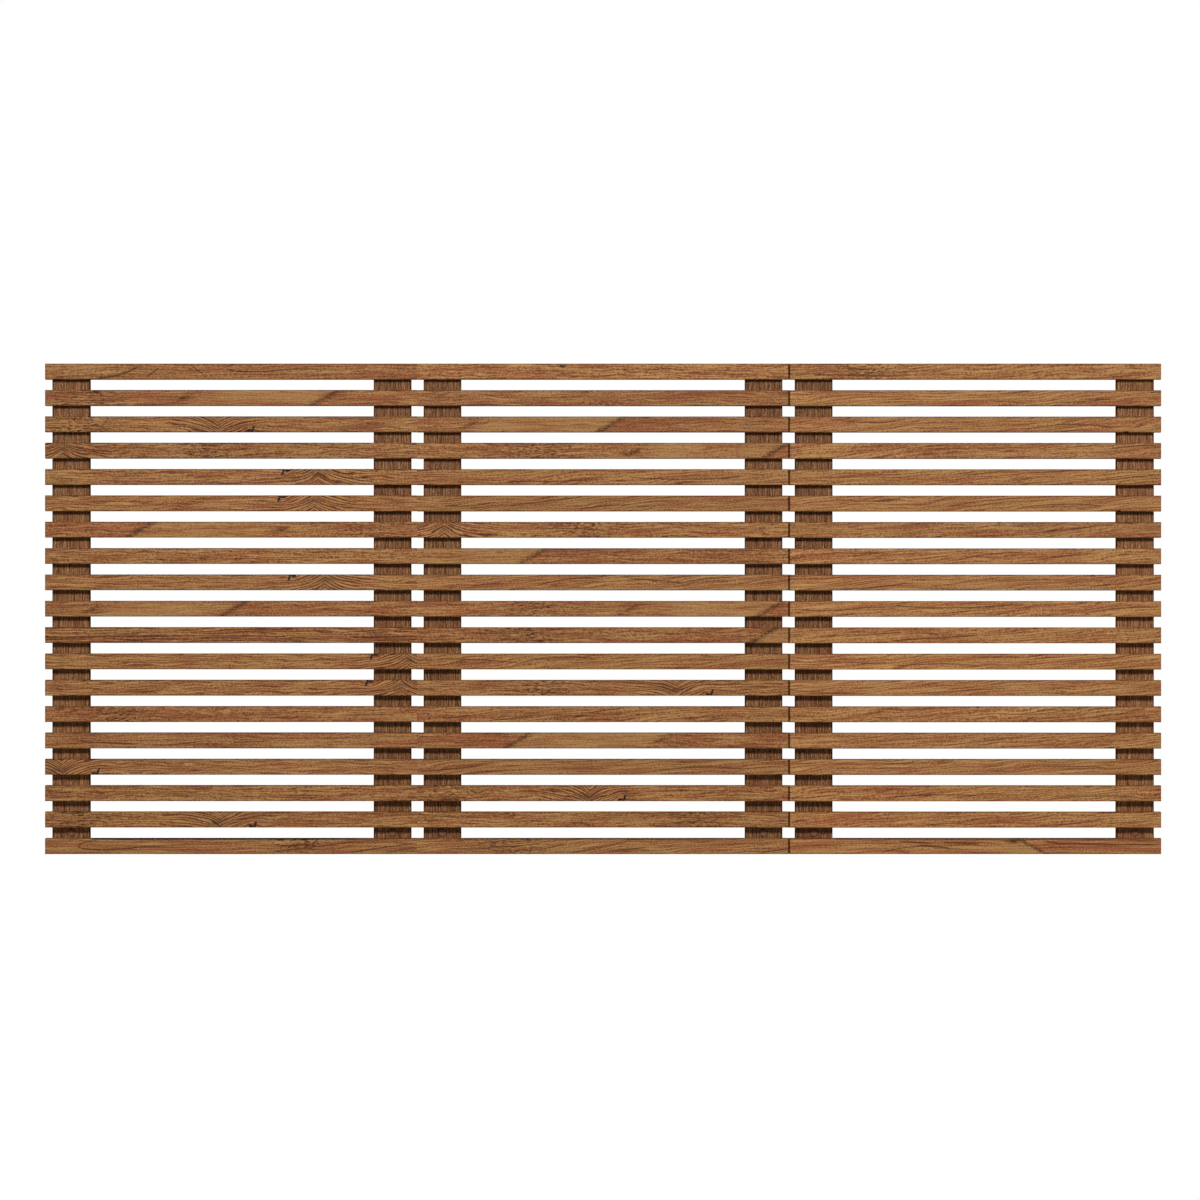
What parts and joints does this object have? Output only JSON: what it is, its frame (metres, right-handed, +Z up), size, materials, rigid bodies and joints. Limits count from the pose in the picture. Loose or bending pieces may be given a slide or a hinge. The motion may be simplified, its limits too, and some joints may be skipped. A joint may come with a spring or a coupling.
{
  "type": "slatted headboard",
  "caption": "Wall-hung slatted headboard in walnut-look wood: side-by-side panels of level slats on upright stiles, hung on keyhole plates and pinned by capped wall screws.",
  "frame": {"origin": "On the wall plane, midway between the two lower wall screws of the middle panel.", "axes": "+X to the right for someone in the room who looks at the headboard, +Y into the wall, +Z up. The slats' fronts face -Y."},
  "size_m": [2.0798, 0.038, 0.914],
  "materials": {
    "slat_wood": "satin walnut-look wood with dark pores, streaks and small knots, grain along the slat",
    "stile_wood": "the same wood, finer and plainer, grain upright",
    "screw_steel": "yellow zinc plated steel",
    "plate_steel": "bright zinc plated steel",
    "cap_plastic": "matt red-brown plastic"
  },
  "bodies": {
    "root": {"left_panel_slat_01": "slat_wood", "left_panel_slat_02": "slat_wood", "left_panel_slat_03": "slat_wood", "left_panel_slat_04": "slat_wood", "left_panel_slat_05": "slat_wood", "left_panel_slat_06": "slat_wood", "left_panel_slat_07": "slat_wood", "left_panel_slat_08": "slat_wood", "left_panel_slat_09": "slat_wood", "left_panel_slats_10_11": "slat_wood", "left_panel_slats_12_13": "slat_wood", "left_panel_slats_14_15": "slat_wood", "left_panel_slats_16_17": "slat_wood", "left_panel_slats_18_19": "slat_wood", "left_panel_left_stile": "stile_wood", "left_panel_right_stile": "stile_wood", "left_panel_slat_screws": "screw_steel", "left_panel_keyhole_plates": "plate_steel", "left_panel_plate_screws": "screw_steel", "left_panel_cover_caps": "cap_plastic", "middle_panel_slat_01": "slat_wood", "middle_panel_slat_02": "slat_wood", "middle_panel_slat_03": "slat_wood", "middle_panel_slat_04": "slat_wood", "middle_panel_slat_05": "slat_wood", "middle_panel_slat_06": "slat_wood", "middle_panel_slat_07": "slat_wood", "middle_panel_slat_08": "slat_wood", "middle_panel_slat_09": "slat_wood", "middle_panel_slats_10_11": "slat_wood", "middle_panel_slats_12_13": "slat_wood", "middle_panel_slats_14_15": "slat_wood", "middle_panel_slats_16_17": "slat_wood", "middle_panel_slats_18_19": "slat_wood", "middle_panel_left_stile": "stile_wood", "middle_panel_right_stile": "stile_wood", "middle_panel_slat_screws": "screw_steel", "middle_panel_keyhole_plates": "plate_steel", "middle_panel_plate_screws": "screw_steel", "middle_panel_cover_caps": "cap_plastic", "right_panel_slat_01": "slat_wood", "right_panel_slat_02": "slat_wood", "right_panel_slat_03": "slat_wood", "right_panel_slat_04": "slat_wood", "right_panel_slat_05": "slat_wood", "right_panel_slat_06": "slat_wood", "right_panel_slat_07": "slat_wood", "right_panel_slat_08": "slat_wood", "right_panel_slat_09": "slat_wood", "right_panel_slats_10_11": "slat_wood", "right_panel_slats_12_13": "slat_wood", "right_panel_slats_14_15": "slat_wood", "right_panel_slats_16_17": "slat_wood", "right_panel_slats_18_19": "slat_wood", "right_panel_left_stile": "stile_wood", "right_panel_right_stile": "stile_wood", "right_panel_slat_screws": "screw_steel", "right_panel_keyhole_plates": "plate_steel", "right_panel_plate_screws": "screw_steel", "right_panel_cover_caps": "cap_plastic"}
  },
  "joints": []
}
